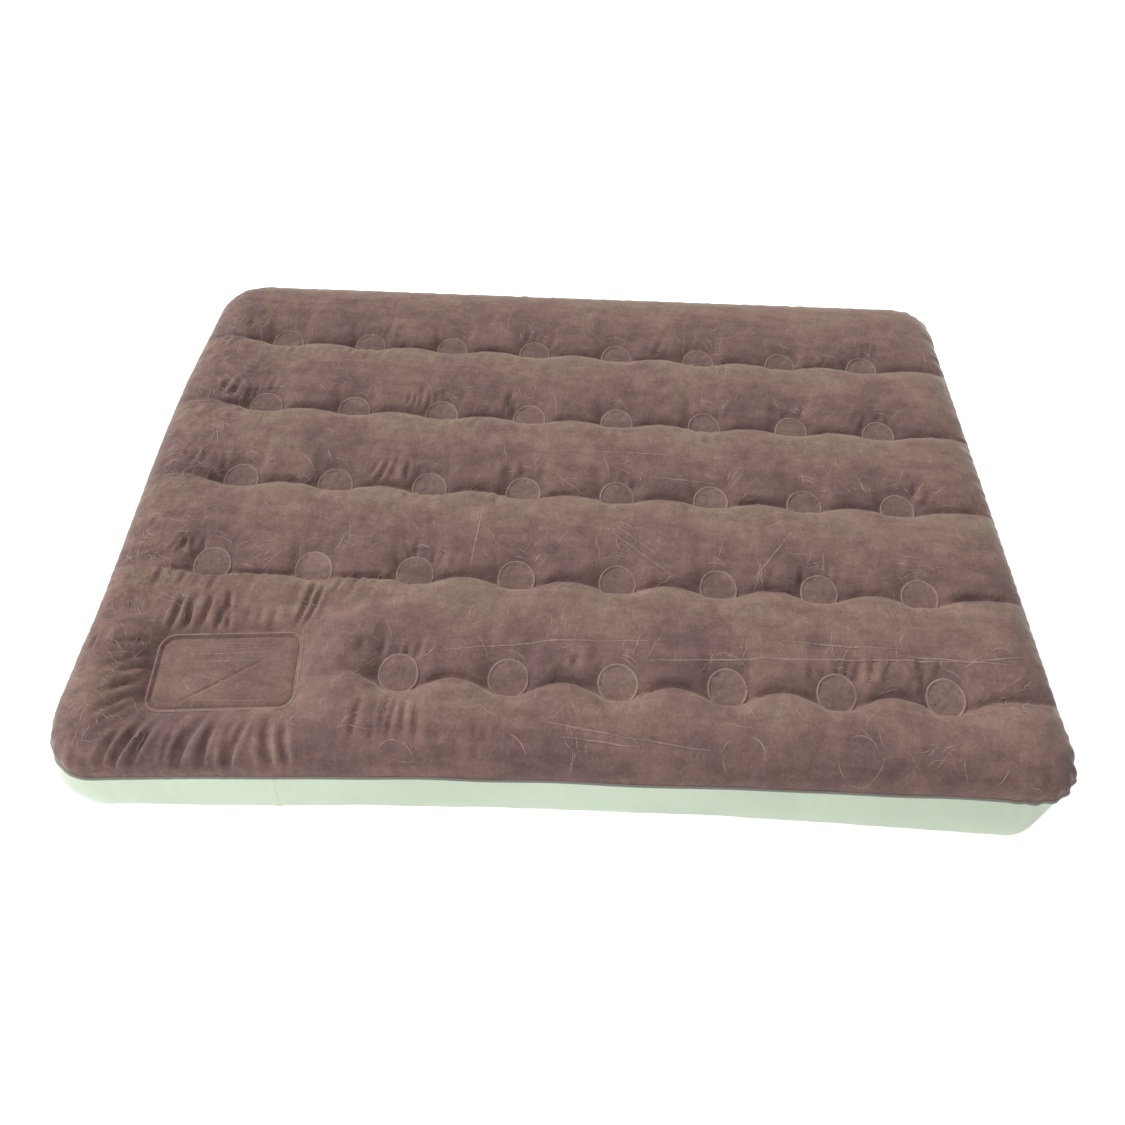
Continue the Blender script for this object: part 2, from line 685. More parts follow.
def edge_folds(p, x, y):
    """The pleats of the seam, running into the sheet."""
    d = from_edge(x, y)
    total = np.zeros_like(x)
    near = np.argwhere(d < 0.07)
    s = np.array([fine_s[fine_tree.find((p[i, j, 0], p[i, j, 1], 0))[1]] for i, j in near])
    depth = d[near[:, 0], near[:, 1]]
    sums = np.zeros(len(s))
    for place, wide, high, reach in PLEATS:
        sums += 1.2 * high * ridge(along_gap(s, place) / wide) * (1 - smooth(0.2 * reach, reach, depth))
    total[near[:, 0], near[:, 1]] = sums
    return total


def normals(p):
    du, dv = np.empty_like(p), np.empty_like(p)
    du[1:-1] = p[2:] - p[:-2]
    du[0], du[-1] = p[1] - p[0], p[-1] - p[-2]
    dv[:, 1:-1] = p[:, 2:] - p[:, :-2]
    dv[:, 0], dv[:, -1] = p[:, 1] - p[:, 0], p[:, -1] - p[:, -2]
    n = np.cross(du, dv)
    return n / np.maximum(np.linalg.norm(n, axis=-1, keepdims=True), 1e-9)


# Relaxing: the sheet keeps its cut, air pushes it out, and what is too long folds
def pairs(p, di, dj, parity):
    """Two views of the grid with points di, dj apart, every other pair of them."""
    si, sj = (slice(parity, None, 2), slice(None)) if di else (slice(None), slice(parity, None, 2))
    a = p[: p.shape[0] - di, max(-dj, 0): p.shape[1] - max(dj, 0)]
    b = p[di:, max(dj, 0): p.shape[1] - max(-dj, 0)]
    return a[si, sj], b[si, sj]


def folds_wanted(x, y):
    """Spare length of the cut along X and along Y, as shares."""
    spot_near = spot_distance(x, y)
    round_spot = smooth(SPOT_R, SPOT_R + 0.008, spot_near)
    round_spot = round_spot * (1 - smooth(SPOT_R + 0.02, SPOT_R + 0.05, spot_near))
    return 0.003 + 0.014 * round_spot, 0.003 + 0.008 * round_spot


# Steps along and across to the point that each link ends at, and how it answers to pull and to push
LINKS = (
    (1, 0, 1.0, 0.55), (0, 1, 1.0, 0.55), (1, 1, 0.35, 0.10), (1, -1, 0.35, 0.10),
    (2, 0, 0.0, 0.12), (0, 2, 0.0, 0.12), (4, 0, 0.0, 0.06), (0, 4, 0.0, 0.06),
)
KEEP_SPEED = 0.88
FAR_OFF = 9.0


def relax(p, x, y, lines, pinned, steps, push):
    """Moves the free points until the links have their lengths, and keeps each tube between its feet."""
    p = p.astype(np.float32)
    free = (~pinned).astype(np.float32)
    spare_x, spare_y = folds_wanted(x, y)
    seed_folds = 0.0004 * waves(x, y, 0.03, 13)
    families = []
    spare = {(1, 0): spare_x, (0, 1): spare_y, (2, 0): spare_x, (0, 2): spare_y}
    for di, dj, pull, press in LINKS:
        for parity in (0, 1):
            a, b = pairs(p, di, dj, parity)
            rest = np.linalg.norm(b - a, axis=-1)
            if (di, dj) in spare:
                sa, sb = pairs(spare[(di, dj)], di, dj, parity)
                rest = rest * (1 + (sa + sb) / 2)
            fa, fb = pairs(free, di, dj, parity)
            total = np.maximum(fa + fb, 1e-6)
            families.append((di, dj, parity, rest.astype(np.float32), fa / total, fb / total, pull, press))
    feet = [sy - foot_half(x, row) for row, sy in enumerate(SPOT_Y)]
    feet = np.stack([np.full_like(x, -FAR_OFF), *feet, np.full_like(x, FAR_OFF)])
    tube = np.clip(np.searchsorted(SPOT_Y, lines), 0, ROWS)
    low = np.take_along_axis(feet, tube[None], 0)[0] - 0.0005
    high = np.take_along_axis(feet, tube[None] + 1, 0)[0] + 0.005
    loose = (np.abs(y - SPOT_Y[0]) < 0.16) & (x < SPOT_X[2] - 0.05)
    low, high = np.where(loose, -FAR_OFF, low), np.where(loose, FAR_OFF, high)
    p[..., 2] += (seed_folds * free).astype(np.float32)
    before = p.copy()
    for _ in range(steps):
        normal = normals(p)
        speed = (p - before) * np.float32(KEEP_SPEED)
        before = p.copy()
        p += (speed + np.float32(push) * normal) * free[..., None]
        for di, dj, parity, rest, fa, fb, pull, press in families:
            a, b = pairs(p, di, dj, parity)
            d = b - a
            size = np.sqrt(np.einsum("ijk,ijk->ij", d, d)) + np.float32(1e-9)
            gain = np.where(size > rest, np.float32(pull), np.float32(press)) * (size - rest) / size
            a += (fa * gain)[..., None] * d
            b -= (fb * gain)[..., None] * d
        beyond = (p[..., 1] < low) | (p[..., 1] > high)
        p[..., 1] = np.where(beyond & (free > 0), np.clip(p[..., 1], low, high), p[..., 1])
    return p


RELAX_STEPS = 90
KEEP_FOLDS = 0.5
PUSH = 0.000008
start, grid_x, grid_y, grid_lines, pinned, pump_gap = top_start()
folds = np.where(pinned, 0, sheet_folds(grid_x, grid_y, pump_gap))
edge_part = np.where(pinned, 0, edge_folds(start, grid_x, grid_y))
start = start + normals(start) * (folds + edge_part)[..., None]
top_points = start
top_points = relax(start, grid_x, grid_y, grid_lines, pinned, RELAX_STEPS, PUSH)
top_points = top_points + normals(top_points) * (KEEP_FOLDS * folds)[..., None]

# The opening of the pump: cells inside go, and the edge is drawn to the outline
LEVEL_WITHIN = 0.0040
DRAWN_WITHIN = 0.0028
quads = grid_faces(NX, NY)
flat_gap = pump_gap.ravel()
quads = quads[flat_gap[quads].mean(1) > 0.0]
used = np.zeros(NX * NY, bool)
used[quads.ravel()] = True
inner = used & (flat_gap < LEVEL_WITHIN)
edge = pump_outline(600)
flat_points = np.asarray(top_points, float).reshape(-1, 3).copy()
for k in np.nonzero(inner)[0]:
    nearest = np.argmin(np.hypot(*(edge - flat_points[k, :2]).T))
    if flat_gap[k] < DRAWN_WITHIN:
        flat_points[k, :2] = edge[nearest]
    flat_points[k, 2] = PUMP_Z
new_index = np.cumsum(used) - 1


def nap_of(x, y):
    """How the flock lies: 0 dark behind a row, 1 pale along the far shoulder of a tube."""
    rows = np.array([SPOT_Y[0] - PITCH_Y, *SPOT_Y])
    row = np.clip(np.searchsorted(rows, y + 0.02) - 1, 0, ROWS)
    t = y - rows[row]
    behind = row > 0
    value = 0.50 + np.where(behind, 0.40, 0.16) * smooth(0.09, 0.20, t)
    value = value - 0.22 * bell(t / 0.065) * behind
    value = value - 0.12 * bell(from_column(x, 1) / 0.045) * bell((t - 0.06) / 0.05) * behind
    value = value - 0.26 * smooth(-0.56, -0.63, y)
    for share, length, seed in ((0.18, 0.24, 151), (0.15, 0.085, 152), (0.10, 0.030, 153)):
        value = value + share * waves(x, y, length, seed)
    loose = smooth(0.66, 0.80, -x)
    lines = creases(x, y, 0.055, 154, 0.30) + creases(x + 0.5 * y, y, 0.070, 155, 0.26)
    value = value + (0.07 + 0.24 * loose) * lines - 0.10 * loose - 0.05 * smooth(0.45, 0.6, y)
    return np.clip(value, 0, 1)


top = mesh_object("top_flock", flat_points[used], new_index[quads].tolist(), flock_top)
top.data.attributes.new("nap", "FLOAT", "POINT").data.foreach_set(
    "value", nap_of(grid_x, grid_y).ravel()[used].astype(np.float32)
)
bake_map(top, grid_uv(NX, NY).reshape(-1, 2)[used])
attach(top, "bed")
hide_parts("top_sheet")


# Crease marks: thin ridges left in the flock by folding, lying on the sheet
FOLD_LINES = [
    ((-0.237, -0.453), (0.164, -0.414)), ((-0.200, -0.482), (0.053, -0.466)),
    ((0.156, -0.456), (0.448, -0.437)), ((0.418, -0.403), (0.648, -0.410)),
    ((0.413, -0.443), (0.782, -0.430)), ((0.782, -0.430), (0.894, -0.411)),
    ((-0.041, -0.595), (0.105, -0.615)), ((0.105, -0.615), (0.266, -0.632)),
    ((-0.002, -0.620), (0.141, -0.632)), ((0.052, -0.126), (0.210, -0.250)),
    ((0.065, -0.114), (0.180, -0.203)), ((-0.048, 0.014), (0.045, -0.048)),
    ((-0.199, -0.261), (-0.185, -0.102)), ((0.382, -0.250), (0.478, -0.125)),
    ((-0.472, -0.639), (-0.390, -0.711)), ((-0.027, 0.070), (0.337, 0.072)),
    ((0.187, 0.008), (0.321, 0.005)), ((0.657, -0.425), (0.858, -0.432)),
]
RING_MARKS = [
    (-0.296, -0.678), (-0.100, -0.659), (0.108, -0.649), (0.327, -0.640), (0.536, -0.634), (0.760, -0.633),
    (0.102, -0.169),
]
MARKS_ALL_OVER = 190
MARK_CLUSTERS = 130
MARKS_LOOSE_END = 320


def mark_paths():
    """Lines over the bed: points, half width and height."""
    gen = seeded(201)
    paths = []

    def line(a, turn, length, half, high, wander, bow=0.35):
        t = np.linspace(0, 1, max(5, int(length / 0.005)))
        bend = gen.uniform(-bow, bow) * length
        side = bend * t * (1 - t)
        for turns in (1.3, 2.9):
            phase, share = gen.uniform(0, TAU), gen.uniform(0.3, 1)
            side = side + wander * length / turns * np.sin(TAU * turns * t + phase) * share
        x = a[0] + length * t * math.cos(turn) - side * math.sin(turn)
        y = a[1] + length * t * math.sin(turn) + side * math.cos(turn)
        paths.append((x, y, half, high))

    def hair(a, turn, lengths, halves, high, wander):
        line(a, turn, gen.uniform(*lengths), gen.uniform(*halves), high, wander)

    def arc(cx, cy, r, start, sweep, half, high):
        t = np.linspace(start, start + sweep, 16)
        r = r * (1 + 0.05 * np.sin(3 * t + gen.uniform(0, TAU)))
        paths.append((cx + r * np.cos(t), cy + r * np.sin(t), half, high))

    for a, b in FOLD_LINES:
        turn, length = math.atan2(b[1] - a[1], b[0] - a[0]), math.dist(a, b)
        line(a, turn, length, 0.0019, 0.0012, 0.008, 0.05)
    for cx, cy in RING_MARKS:
        for _ in range(4):
            r = SPOT_R * gen.uniform(0.97, 1.05)
            arc(cx, cy, r, gen.uniform(0, TAU), gen.uniform(0.6, 1.5), 0.0014, 0.0007)
    for sx, sy in SPOTS:
        for _ in range(gen.integers(1, 4)):
            up = gen.uniform(0.012, 0.034)
            cx = sx + gen.normal(0, 0.006)
            arc(cx, sy + up, SPOT_R, gen.uniform(0.4, 1.2), gen.uniform(0.5, 1.4), 0.0013, 0.0007)
        for _ in range(gen.integers(1, 4)):
            turn = gen.uniform(0.5, 2.64)
            away = SPOT_R + gen.uniform(0.008, 0.035)
            a = (sx + away * math.cos(turn), sy + away * math.sin(turn))
            hair(a, turn + gen.normal(0, 0.25), (0.02, 0.06), (0.0010, 0.0016), 0.0008, 0.04)
    for _ in range(MARKS_ALL_OVER):
        kind = gen.uniform()
        turn = gen.normal(0.04, 0.15) if kind < 0.30 else gen.choice([-1, 1]) * gen.uniform(0.4, 1.2)
        turn = gen.normal(1.57, 0.25) if kind > 0.75 else turn
        a = (gen.uniform(-0.93, 0.91), gen.uniform(-0.69, 0.65))
        length, half = gen.uniform(0.018, 0.070), gen.uniform(0.0009, 0.0015)
        line(a, turn, length, half, gen.uniform(0.0005, 0.0009), 0.05)
    for _ in range(MARK_CLUSTERS):
        cx, cy = gen.uniform(-0.90, 0.90), gen.uniform(-0.66, 0.62)
        ways = [gen.normal(1.57, 0.3), gen.normal(0.1, 0.3), gen.uniform(0.4, 1.1), gen.uniform(-1.1, -0.4)]
        way = gen.choice(ways)
        for _ in range(gen.integers(3, 8)):
            a = (cx + gen.normal(0, 0.020), cy + gen.normal(0, 0.020))
            hair(a, way + gen.normal(0, 0.22), (0.012, 0.045), (0.0008, 0.0013), 0.0007, 0.06)
    for _ in range(MARKS_LOOSE_END):
        a = (gen.uniform(-0.94, -0.74), gen.uniform(-0.69, 0.62))
        hair(a, gen.uniform(0, math.pi), (0.02, 0.05), (0.0009, 0.0014), 0.0008, 0.08)
    return paths


def off_spots(x, y):
    """Whether a line keeps clear of the spots and of the pump."""
    return spot_distance(x, y).min() > SPOT_R + 0.003 and pump_distance(x, y).min() > 0.012


def crease_marks(name, sheet, paths):
    """A low ridge along each path, laid on the sheet, with a dark groove on one side."""
    corners, polygons = sheet.data.vertices, sheet.data.polygons
    tree = BVHTree.FromPolygons([v.co for v in corners], [p.vertices for p in polygons])
    points, faces = [], []
    for x, y, half, high in paths:
        rows = []
        for k in range(len(x)):
            spot, normal = tree.ray_cast(Vector((x[k], y[k], 0.4)), Vector((0, 0, -1)))[:2]
            if spot is None or normal.z < 0.25:
                rows = []
                break
            rows.append((spot, normal))
        if len(rows) < 3:
            continue
        base = len(points)
        for k, (spot, normal) in enumerate(rows):
            after, before = rows[min(k + 1, len(rows) - 1)][0], rows[max(k - 1, 0)][0]
            side = normal.cross(after - before).normalized()
            fade = min(1.0, 2.2 * k / len(rows) + 0.12, 2.2 * (len(rows) - 1 - k) / len(rows) + 0.12)
            wide = half * (0.45 + 0.55 * fade)
            points += [
                spot + side * wide - normal * 0.0004,
                spot + normal * high * fade,
                spot - side * wide + normal * 0.0002,
                spot - side * wide * 2.2 - normal * 0.0003,
            ]
        for k in range(len(rows) - 1):
            at = base + 4 * k
            for part in range(3):
                faces.append((at + part, at + part + 4, at + part + 5, at + part + 1))
    obj = mesh_object(name, [tuple(v) for v in points], faces, flock_mark)
    second_material(obj, flock_dark, np.arange(len(faces)) % 3 == 2)
    return obj


marks = crease_marks("crease_marks", top, [path for path in mark_paths() if off_spots(path[0], path[1])])
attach(marks, "bed")


# Weld spots: a pressed disc with a raised ring
RING_FROM = 0.0345
UV_CELLS = 7
UV_CELL_SIZE = 0.084
SPOT_PROFILE = [
    (0.0000, 0.00045), (0.0060, 0.00055), (0.0120, 0.00045), (0.0180, 0.0006), (0.0240, 0.0005),
    (0.0290, 0.0006), (0.0325, 0.0005), (0.0345, 0.0007), (0.0356, 0.0016), (0.0366, 0.0022),
    (0.0377, 0.0020), (0.0388, 0.0011), (0.0398, -0.0006),
]


def weld_spots():
    """All spots in one piece, each from its profile of radius and height."""
    turns, cell = 72, 1 / UV_CELLS
    angle = np.linspace(0, TAU, turns, endpoint=False)
    points, faces, uvs = [], [], []
    gen = seeded(21)
    for number, (sx, sy) in enumerate(SPOTS):
        base = len(points)
        phase = gen.uniform(0, TAU, 3)
        for r, h in SPOT_PROFILE:
            wobble = 1 + 0.010 * np.sin(2 * angle + phase[0]) + 0.006 * np.sin(5 * angle + phase[1])
            rx, ry = r * wobble * np.cos(angle), r * wobble * np.sin(angle)
            bumps = 0.00035 * waves(rx + number, ry, 0.02, 22) if 0 < r < 0.034 else 0 * rx
            uneven = 1 + 0.45 * np.sin(2 * angle + phase[1]) * np.sin(3 * angle + phase[2])
            z = SPOT_Z + TILT * ry + bumps + (0.0005 + (h - 0.0005) * uneven if h > 0.0008 else h)
            points.extend(np.stack([sx + rx, sy + ry, z], -1).tolist())
            u, v = (number % UV_CELLS + 0.5) * cell, (number // UV_CELLS + 0.5) * cell
            uvs.extend(np.stack([u + rx * cell / UV_CELL_SIZE, v + ry * cell / UV_CELL_SIZE], -1).tolist())
        quads = grid_faces(len(SPOT_PROFILE), turns, close_cols=True) + base
        faces.extend(quads[turns:].tolist())
        for k in range(turns):
            faces.append([base, base + turns + k, base + turns + (k + 1) % turns])
    obj = mesh_object("weld_spots", points, faces, flock_pressed)
    middle = np.array([np.mean([points[k] for k in face], 0) for face in faces])
    second_material(obj, flock_ring, spot_distance(middle[:, 0], middle[:, 1]) > RING_FROM)
    bake_map(obj, uvs)
    return obj


spots = weld_spots()
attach(spots, "bed")


# Seams: a section of flange, outward and up from the seam line, whose first rows are flocked on the top seam
SEAM_SECTION = [
    (-0.0050, 0.0060), (-0.0012, 0.0030), (0.0014, 0.0010), (0.0034, 0.0003), (0.0048, -0.0003),
    (0.0054, -0.0010), (0.0050, -0.0017), (0.0030, -0.0022), (-0.0070, -0.0022),
]
COVERED_ROWS = 2


def seam_ring(name, inset, z, lift_share, material, cover=None):
    """The flange all the way round, wider at the end with the valves."""
    bare, outward, s, around = seam_line(1100, inset)
    pick = fine_index(s, around)
    points = bare + outward * SCALLOP[pick, None]
    wide = 1 + 1.1 * smooth(0.88, 0.94, -points[:, :1])
    rows = []
    for out, up in SEAM_SECTION:
        xy = points + outward * (out * wide if out > 0 else out)
        rows.append(np.concatenate([xy, (z + up + LIFT[pick] * lift_share)[:, None]], 1))
    faces = grid_faces(len(rows), len(points), True, True)[:, ::-1]
    obj = mesh_object(name, np.stack(rows, 0), faces.tolist(), material)
    if cover is not None:
        second_material(obj, cover, np.arange(len(faces)) // len(points) < COVERED_ROWS)
    return obj


seam_top = seam_ring("seam_top", 0.0, SEAM_Z, 1.0, seam_film, flock_panel)
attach(seam_top, "bed")
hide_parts("top_seam")
seam_bottom = seam_ring("seam_bottom", BOTTOM_IN, BOTTOM_SEAM_Z + 0.001, 0.3, side_film)
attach(seam_bottom, "bed")
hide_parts("bottom_seam")


# Side wall
WALL_TOP = SEAM_Z - 0.0022
END_WALL_X = -0.8
INSIDE = 0.97


def wall_out(points, share):
    """How far the wall stands out of the seam line, from its top (share 0) to its foot (share 1)."""
    x, y = points[:, 0], points[:, 1]
    at_left = smooth(0.86, 0.93, -x)
    near = smooth(0.5, 0.62, -y)
    bow = 0.013 * smooth(0.2, 0.80, x) * (1 - smooth(0.86, 0.95, x)) - 0.005 * smooth(-0.55, -0.84, x)
    full = (0.021 + near * bow) * (1 - 0.85 * smooth(0.84, 0.94, x) * near)
    full = full * (1 - at_left) + at_left * np.clip(x - WALL_X, 0.0, 0.03)
    bulge = max(0.0, math.sin(math.pi * share ** 1.3)) ** 0.8
    tuck = BOTTOM_IN * smooth(0.70, 1.0, share)
    return full * bulge - tuck


def wall_rows(count, shares):
    """The wall's points, row by row from the seam down, with their outward directions."""
    bare, outward, s, around = seam_line(count)
    pick = fine_index(s, around)
    pucker = ripple(s, AROUND, (0.018, 0.023, 0.041), 31)
    broad = ripple(s, AROUND, (0.21, 0.34, 0.5), 32)
    soft = ripple(s, AROUND, (0.07, 0.11), 33)
    made = []
    for share in shares:
        middle = math.sin(math.pi * share)
        out = wall_out(bare, share) + SCALLOP[pick] * (1 - smooth(0.05, 0.5, share))
        out = out + 0.0017 * pucker * math.exp(-share * 7) + (0.0020 * broad + 0.0007 * soft) * middle
        z = WALL_TOP - (WALL_TOP - BOTTOM_SEAM_Z) * share + LIFT[pick] * (1 - share)
        made.append(np.concatenate([bare + outward * out[:, None], z[:, None]], 1))
    return np.stack(made, 0), outward


def side_wall():
    """The wall, drawn to the flat seats of the valves below the seam, with a hole for each."""
    count, rows = 1000, 30
    grid = wall_rows(count, np.linspace(0, 1, rows))[0]
    for vy, vz, r in VALVES:
        at_end = grid[..., 0] < END_WALL_X
        gap = np.hypot(grid[..., 1] - vy, grid[..., 2] - vz)
        near = (1 - smooth(0.034, 0.075, gap)) * at_end * (1 - smooth(0.120, 0.143, grid[..., 2]))
        grid[..., 0] = grid[..., 0] * (1 - near) + (WALL_X - 0.0001) * near
        k = onto_circle(gap, r, 0.0036, at_end)
        grid[..., 1] = vy + (grid[..., 1] - vy) * k
        grid[..., 2] = vz + (grid[..., 2] - vz) * k
    faces = grid_faces(rows, count, close_cols=True)
    flat = grid.reshape(-1, 3)
    middle = flat[faces].mean(1)
    keep = np.ones(len(faces), bool)
    for vy, vz, r in VALVES:
        keep &= (np.hypot(middle[:, 1] - vy, middle[:, 2] - vz) > r * INSIDE) | (middle[:, 0] > END_WALL_X)
    return mesh_object("side_wall", flat, faces[keep][:, ::-1].tolist(), side_film)


wall = side_wall()
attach(wall, "bed")
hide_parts("side_band")


# Lap weld of the wall
def lap_weld():
    """A strip of the wall that stands a little proud, where the CAD has the lap."""
    low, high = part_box("band_lap_weld")
    middle = (low.x + high.x) / 2
    grid, outward = wall_rows(4000, np.linspace(0.02, 0.97, 40))
    near = np.nonzero((grid[0, :, 1] < -0.5) & (np.abs(grid[0, :, 0] - middle) < 0.0085))[0]
    near = near[np.argsort(grid[0, near, 0])]
    across = np.linspace(0, 1, len(near))
    proud = 0.0011 * np.sin(math.pi * across) ** 0.5 + 0.0005 * np.sin(math.pi * across * 3) ** 2 - 0.0002
    grid = grid[:, near]
    grid[..., :2] += (outward[near] * proud[:, None])[None]
    return mesh_object("band_lap", grid, grid_faces(*grid.shape[:2])[:, ::-1].tolist(), side_film)


lap = lap_weld()
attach(lap, "bed")
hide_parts("band_lap_weld")


# Bottom
def dip(x, y, row):
    """How far the bottom is drawn in at a row: 1 at a spot, less in the crease between two."""
    depth = 0.6 + 0.4 * (1 - quarter((from_column(x, row) - SPOT_R) / (PITCH_X / 2 - SPOT_R)))
    u = 1 - np.clip((np.abs(y - SPOT_Y[row]) - 0.6 * SPOT_R) / (PITCH_Y / 2 - 0.6 * SPOT_R), 0, 1)
    return depth * u ** 1.9 * end_fade(x) * pump_fade(x, row)


def bottom():
    """The underside: level, drawn in at the rows, and rolled up to its seam."""
    nx, ny = 230, 170
    hx, hy, r = HALF_X - BOTTOM_IN, HALF_Y - BOTTOM_IN, SEAM_R - BOTTOM_IN
    x, y = np.meshgrid(np.linspace(-hx, hx, nx), np.linspace(-hy, hy, ny), indexing="ij")
    d = np.minimum(hx - np.abs(x), hy - np.abs(y))
    rim = (BOTTOM_SEAM_Z - 0.0005) * (1 - quarter(d / 0.045))
    drawn_in = np.max([dip(x, y, row) for row in range(ROWS)], 0)
    z = np.maximum(rim, BOTTOM_SPOT_Z * drawn_in * smooth(0.02, 0.10, d))
    under_pump = smooth(0.0, 0.05, pump_distance(x, y))
    z = np.maximum(z * under_pump, rim) + 0.0004
    px, py = rounded(x, y, hx, hy, r)
    dx, dy = outline_shift(px * HALF_X / hx, py * HALF_Y / hy)
    faces = grid_faces(nx, ny)[:, ::-1]
    obj = mesh_object("bottom_film", np.stack([px + dx, py + dy, z], -1), faces.tolist(), bottom_film)
    bake_map(obj, grid_uv(nx, ny))
    return obj


floor_film = bottom()
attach(floor_film, "bed")
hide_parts("bottom_sheet")


# Foot panel: a low pillow inside a collar with a bead, which goes down with it
PANEL_IN = 0.0034
PANEL_Z = 0.1759
PANEL_CROWN = 0.0028
PANEL_EDGE = 0.014
PANEL_AROUND = 220
BEAD_ROWS = (3, 4)
COLLAR_SECTION = [
    (0.0110, 0.1780), (0.0080, 0.1801), (0.0062, 0.1809), (0.0050, 0.1814), (0.0038, 0.1816),
    (0.0028, 0.1813), (0.0018, 0.1806), (0.0009, 0.1797), (0.0000, 0.1789), (-0.0010, 0.1782),
    (-0.0020, 0.1775), (-0.0030, 0.1768), (-0.0044, 0.1762), (-0.0064, 0.1756),
]
PANEL_FOLDS = [
    ((-0.085, -0.068), (0.075, 0.030), -0.0024, 0.0030),
    ((-0.090, -0.020), (-0.058, -0.055), 0.0014, 0.0028),
    ((-0.080, 0.048), (0.115, 0.040), 0.0010, 0.0028),
    ((-0.055, 0.010), (0.045, -0.005), 0.0009, 0.0026),
]
PUMP_MIDDLE = np.array([PUMP_X, PUMP_Y])


def ring_stack(levels, count):
    """Rings of the pump's outline: how far out, height and share of the way from the middle."""
    rings = []
    for out, z, share in levels:
        xy = PUMP_MIDDLE + (pump_outline(count, out) - PUMP_MIDDLE) * share
        rings.append(np.concatenate([xy, np.full((count, 1), z)], 1))
    return np.stack(rings, 0)


def pump_uv(points):
    return (points[:, :2] - PUMP_MIDDLE) / (PUMP_L * 1.2, PUMP_W * 1.2) + 0.5


def pump_collar():
    points = ring_stack([(out, z, 1.0) for out, z in COLLAR_SECTION], PANEL_AROUND).reshape(-1, 3)
    faces = grid_faces(len(COLLAR_SECTION), PANEL_AROUND, close_cols=True)[:, ::-1]
    obj = mesh_object("pump_collar", points, faces.tolist(), flock_panel)
    second_material(obj, flock_ring, np.isin(np.arange(len(faces)) // PANEL_AROUND, BEAD_ROWS))
    bake_map(obj, pump_uv(points))
    return obj


def foot_panel():
    rings = 46
    edge = pump_outline(PANEL_AROUND, -PANEL_IN)
    made = []
    for k in range(rings):
        share = 1 - (k / rings) ** 1.3
        xy = PUMP_MIDDLE + (edge - PUMP_MIDDLE) * share
        u, v = pump_local(xy[:, 0], xy[:, 1])
        inward = np.clip(-pump_distance(xy[:, 0], xy[:, 1]) - PANEL_IN, 0, PANEL_EDGE) / PANEL_EDGE
        z = PANEL_Z + PANEL_CROWN * quarter(inward) + 0.0008 * waves(u, v, 0.09, 41) * inward
        for a, b, high, wide in PANEL_FOLDS:
            z = z + high * fold(u, v, a, b, wide) * inward
        made.append(np.stack([xy[:, 0], xy[:, 1], z], -1))
    points = np.concatenate(made)
    faces = grid_faces(rings, PANEL_AROUND, close_cols=True).tolist()
    centre = len(points)
    first = centre - PANEL_AROUND
    points = np.concatenate([points, [[PUMP_X, PUMP_Y, points[first:, 2].mean()]]])
    faces += [[first + k, centre, first + (k + 1) % PANEL_AROUND] for k in range(PANEL_AROUND)]
    obj = mesh_object("foot_panel", points, [f[::-1] for f in faces], flock_panel)
    bake_map(obj, pump_uv(points))
    return obj


collar = pump_collar()
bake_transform(collar)
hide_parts("pump_rim")
panel = foot_panel()
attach(panel, "pump_panel")
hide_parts("pump_panel")


def panel_paths():
    """Thin pale lines that folding left on the panel."""
    gen = seeded(231)
    ends = [((-0.088, -0.002), (-0.050, -0.050)), ((-0.080, 0.000), (0.030, -0.028))]
    ends.append(((-0.060, -0.058), (0.100, -0.064)))
    for v in np.linspace(0.020, 0.062, 9):
        start, stop = gen.uniform(-0.105, -0.02), gen.uniform(0.0, 0.110)
        ends.append(((start, v + gen.normal(0, 0.002)), (stop, v + gen.normal(0, 0.004))))
    paths = []
    for (u0, v0), (u1, v1) in ends:
        k = np.linspace(0, 1, 24)
        u = u0 + (u1 - u0) * k
        v = v0 + (v1 - v0) * k + 0.0022 * gen.uniform(-1, 1) * np.sin(math.pi * k)
        paths.append((*pump_world(u, v), gen.uniform(0.0007, 0.0011), 0.0004))
    return paths


panel_marks = crease_marks("panel_marks", panel, panel_paths())
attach(panel_marks, "pump_panel")


# Foam block under the panel
def foam_block():
    """The block from its underside up, from ring to ring, with a slightly uneven skin."""
    low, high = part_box("pump_foam")
    top_z = high.z - 0.005
    count, rows, out = 200, 44, -0.006
    levels = [(out, low.z, 0.02), (out, low.z, 0.5), (out, low.z, 0.96), (out - 0.001, low.z + 0.0008, 1.0)]
    levels += [(out, low.z + 0.003 + (top_z - low.z - 0.007) * k / (rows - 1), 1.0) for k in range(rows)]
    levels += [(out - 0.0012, top_z - 0.0012, 1.0), (out - 0.004, top_z, 1.0)]
    levels += [(out - 0.004, top_z, share) for share in (0.9, 0.75, 0.55, 0.3, 0.02)]
    grid = ring_stack(levels, count)
    grid[4:-7, :, :2] += 0.0006 * waves(grid[4:-7, :, 0] * 3, grid[4:-7, :, 2], 0.03, 51)[..., None]
    points = grid.reshape(-1, 3)
    faces = grid_faces(len(levels), count, close_cols=True).tolist()
    faces.append(list(range(count))[::-1])
    faces.append(list(range(len(points) - count, len(points))))
    return mesh_object("pump_foam_block", points, faces, foam_cells), low.z


foam, foam_low = foam_block()
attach(foam, "bed")
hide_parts("pump_foam")
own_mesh(foam)


# Pocket round the foam: side and radius of its holes for the duct and the outlet
POCKET_HOLES = ((-1, 0.0135), (1, 0.008))


